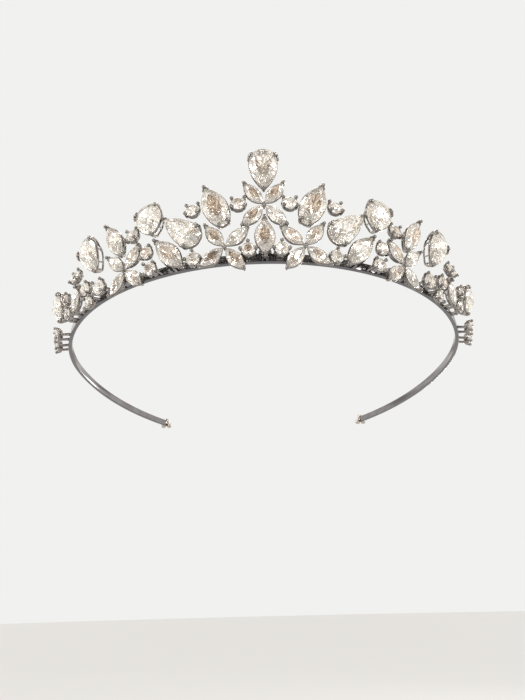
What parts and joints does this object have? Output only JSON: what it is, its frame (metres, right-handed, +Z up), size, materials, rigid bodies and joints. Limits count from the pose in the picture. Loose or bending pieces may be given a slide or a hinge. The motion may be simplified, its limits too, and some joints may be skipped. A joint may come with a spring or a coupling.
{
  "type": "bridal tiara",
  "caption": "Silver-tone bridal tiara: slim sprung headband with a flared crown of clear pear, marquise and round stones in wire claw settings.",
  "frame": {"origin": "centre of the front half circle of the headband's inside face, level with the band's lower edge", "axes": "+Z up through the crown when worn, the wearer faces -Y, +X is to the right seen from the front, so left and right in node names are as seen from the front"},
  "size_m": [0.1492, 0.1548, 0.0354],
  "materials": {
    "polished_band": "bright rhodium plate, polished",
    "setting_wire": "bright rhodium plate, tumbled",
    "bright_beads": "bright rhodium plate, polished",
    "clear_stone": "faceted clear stone"
  },
  "bodies": {
    "root": {"headband": "polished_band", "tip_beads_left": "bright_beads", "tip_beads_right": "bright_beads", "centre_pear_stone": "clear_stone", "centre_pear_setting": "setting_wire", "centre_flower_stones": "clear_stone", "centre_flower_setting": "setting_wire", "centre_marquise_stone": "clear_stone", "centre_marquise_setting": "setting_wire", "inner_flower_stones_left": "clear_stone", "inner_flower_stones_right": "clear_stone", "inner_flower_setting_left": "setting_wire", "inner_flower_setting_right": "setting_wire", "spire_pear_stone_left": "clear_stone", "spire_pear_stone_right": "clear_stone", "spire_pear_setting_left": "setting_wire", "spire_pear_setting_right": "setting_wire", "sweep_pear_stone_left": "clear_stone", "sweep_pear_stone_right": "clear_stone", "sweep_pear_setting_left": "setting_wire", "sweep_pear_setting_right": "setting_wire", "crest_pear_stone_left": "clear_stone", "crest_pear_stone_right": "clear_stone", "crest_pear_setting_left": "setting_wire", "crest_pear_setting_right": "setting_wire", "slant_marquise_stone_left": "clear_stone", "slant_marquise_stone_right": "clear_stone", "slant_marquise_setting_left": "setting_wire", "slant_marquise_setting_right": "setting_wire", "leaf_marquise_stones_left": "clear_stone", "leaf_marquise_stones_right": "clear_stone", "leaf_marquise_settings_left": "setting_wire", "leaf_marquise_settings_right": "setting_wire", "outer_flower_stones_left": "clear_stone", "outer_flower_stones_right": "clear_stone", "outer_flower_setting_left": "setting_wire", "outer_flower_setting_right": "setting_wire", "side_pear_stone_left": "clear_stone", "side_pear_stone_right": "clear_stone", "side_pear_setting_left": "setting_wire", "side_pear_setting_right": "setting_wire", "end_pear_stone_left": "clear_stone", "end_pear_stone_right": "clear_stone", "end_pear_setting_left": "setting_wire", "end_pear_setting_right": "setting_wire", "base_round_stones_left": "clear_stone", "base_round_stones_right": "clear_stone", "base_round_settings_left": "setting_wire", "base_round_settings_right": "setting_wire", "upper_round_stones_left": "clear_stone", "upper_round_stones_right": "clear_stone", "upper_round_settings_left": "setting_wire", "upper_round_settings_right": "setting_wire"}
  },
  "joints": []
}
